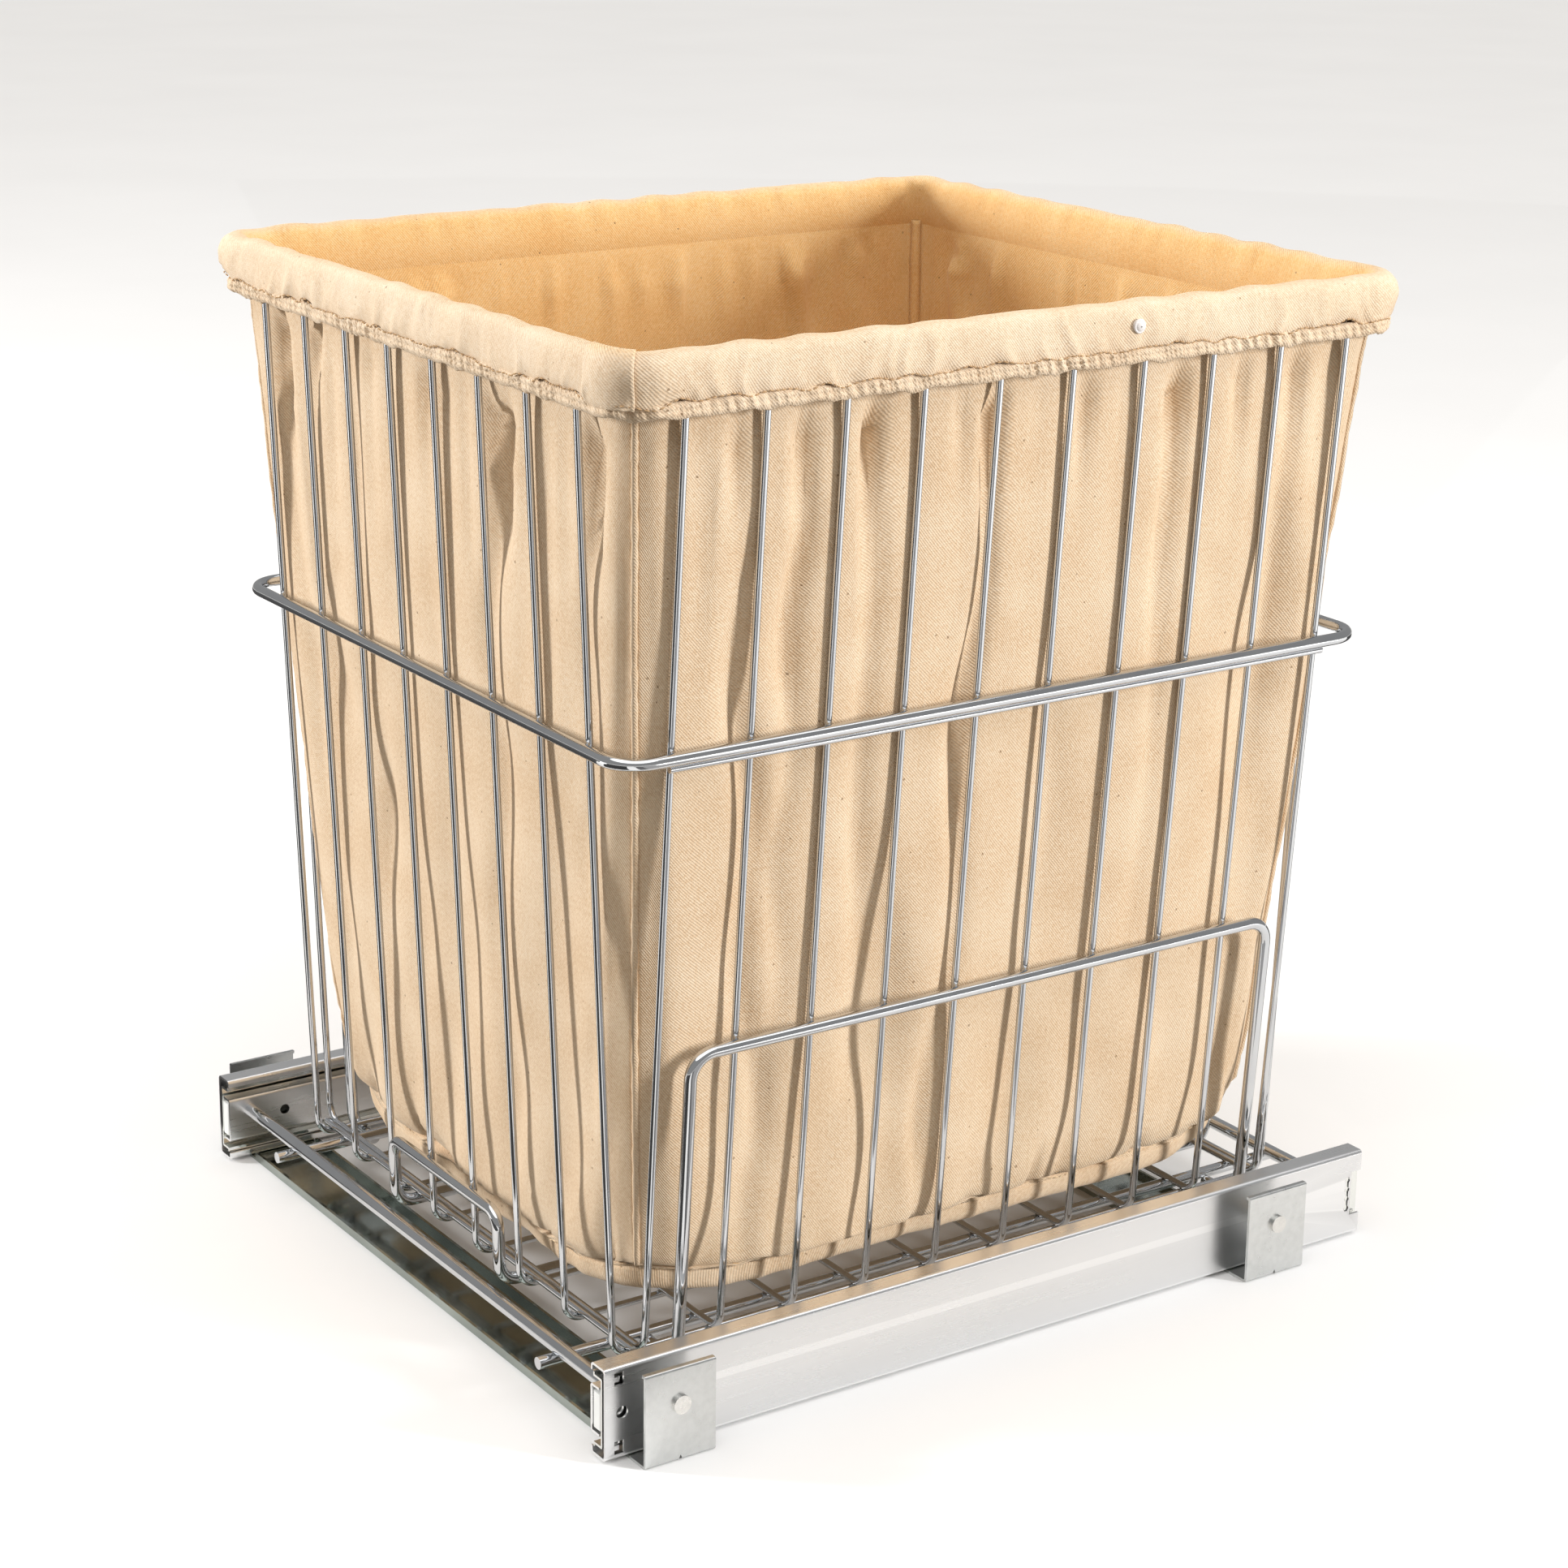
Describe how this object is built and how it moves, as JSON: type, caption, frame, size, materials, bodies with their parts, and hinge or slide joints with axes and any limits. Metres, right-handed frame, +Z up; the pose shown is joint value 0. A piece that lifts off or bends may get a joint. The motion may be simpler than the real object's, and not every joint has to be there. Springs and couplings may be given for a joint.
{
  "type": "pull-out laundry hamper",
  "caption": "Pull-out wire laundry basket with a lift-out canvas liner, carried on two telescopic ball-bearing slides over folded cross channels.",
  "frame": {"origin": "on the cabinet floor, midway between the slides and midway along them", "axes": "+Z up; the basket pulls out towards -Y, its front; +X is towards the right-hand slide for someone who stands in front and looks along +Y"},
  "size_m": [0.4372, 0.457, 0.5046],
  "materials": {
    "wire": "polished",
    "slide_outer": "satin",
    "slide_inner": "bright",
    "channel": "bright",
    "rivet": "satin",
    "cage": "satin",
    "ball": "polished",
    "nylon": "matte",
    "snap": "pearl",
    "elastic": "gathered canvas",
    "canvas": "natural canvas"
  },
  "bodies": {
    "cabinet_side": {"cabinet_member_left": "slide_outer", "cabinet_member_right": "slide_outer", "cross_channel_front": "channel", "cross_channel_rear": "channel", "plate_rivets": "rivet", "rivet_spacers": "rivet"},
    "basket_carriage": {"crook_wire_front": "wire", "crook_wire_rear": "wire", "cross_wire_1": "wire", "cross_wire_10": "wire", "cross_wire_2": "wire", "cross_wire_3": "wire", "cross_wire_4": "wire", "cross_wire_5": "wire", "cross_wire_6": "wire", "cross_wire_7": "wire", "cross_wire_8": "wire", "cross_wire_9": "wire", "drawer_member_left": "slide_inner", "drawer_member_right": "slide_inner", "floor_rod_left": "wire", "floor_rod_right": "wire", "front_bar": "wire", "front_loop": "wire", "long_wire_1": "wire", "long_wire_2": "wire", "long_wire_3": "wire", "long_wire_4": "wire", "long_wire_5": "wire", "long_wire_6": "wire", "long_wire_7": "wire", "long_wire_8": "wire", "mid_ring": "wire", "rear_bar": "wire", "rim_ring": "wire", "ring_stay_left": "wire", "ring_stay_right": "wire", "side_loop_left": "wire", "side_loop_right": "wire"},
    "middle_left": {"end_stop_left": "nylon", "middle_member_left": "slide_inner"},
    "middle_right": {"end_stop_right": "nylon", "middle_member_right": "slide_inner"},
    "inner_cage_left": {"inner_ball_cage_left": "cage", "inner_balls_left": "ball"},
    "inner_cage_right": {"inner_ball_cage_right": "cage", "inner_balls_right": "ball"},
    "liner": {"liner_bag": "canvas", "liner_casing": "canvas", "liner_elastic": "elastic", "liner_snap": "snap"},
    "outer_cage_left": {"outer_ball_cage_left": "cage", "outer_balls_left": "ball"},
    "outer_cage_right": {"outer_ball_cage_right": "cage", "outer_balls_right": "ball"}
  },
  "joints": [
    {"name": "basket_pull_out", "type": "slide", "parent": "cabinet_side", "child": "basket_carriage", "axis": [0, -1, 0], "range_m": [0, 0.455]},
    {"name": "middle_slide_left", "type": "slide", "parent": "cabinet_side", "child": "middle_left", "axis": [0, -1, 0], "range_m": [0, 0.2275]},
    {"name": "outer_cage_roll_left", "type": "slide", "parent": "cabinet_side", "child": "outer_cage_left", "axis": [0, -1, 0], "range_m": [0, 0.11375]},
    {"name": "inner_cage_roll_left", "type": "slide", "parent": "middle_left", "child": "inner_cage_left", "axis": [0, -1, 0], "range_m": [0, 0.11375]},
    {"name": "middle_slide_right", "type": "slide", "parent": "cabinet_side", "child": "middle_right", "axis": [0, -1, 0], "range_m": [0, 0.2275]},
    {"name": "outer_cage_roll_right", "type": "slide", "parent": "cabinet_side", "child": "outer_cage_right", "axis": [0, -1, 0], "range_m": [0, 0.11375]},
    {"name": "inner_cage_roll_right", "type": "slide", "parent": "middle_right", "child": "inner_cage_right", "axis": [0, -1, 0], "range_m": [0, 0.11375]},
    {"name": "liner_lift", "type": "slide", "parent": "basket_carriage", "child": "liner", "axis": [0, 0, 1], "range_m": [0, 0.48]}
  ],
  "couplings": [
    {"joint": "middle_slide_left", "follows": "basket_pull_out", "ratio": 0.5},
    {"joint": "outer_cage_roll_left", "follows": "basket_pull_out", "ratio": 0.25},
    {"joint": "inner_cage_roll_left", "follows": "basket_pull_out", "ratio": 0.25},
    {"joint": "middle_slide_right", "follows": "basket_pull_out", "ratio": 0.5},
    {"joint": "outer_cage_roll_right", "follows": "basket_pull_out", "ratio": 0.25},
    {"joint": "inner_cage_roll_right", "follows": "basket_pull_out", "ratio": 0.25}
  ]
}
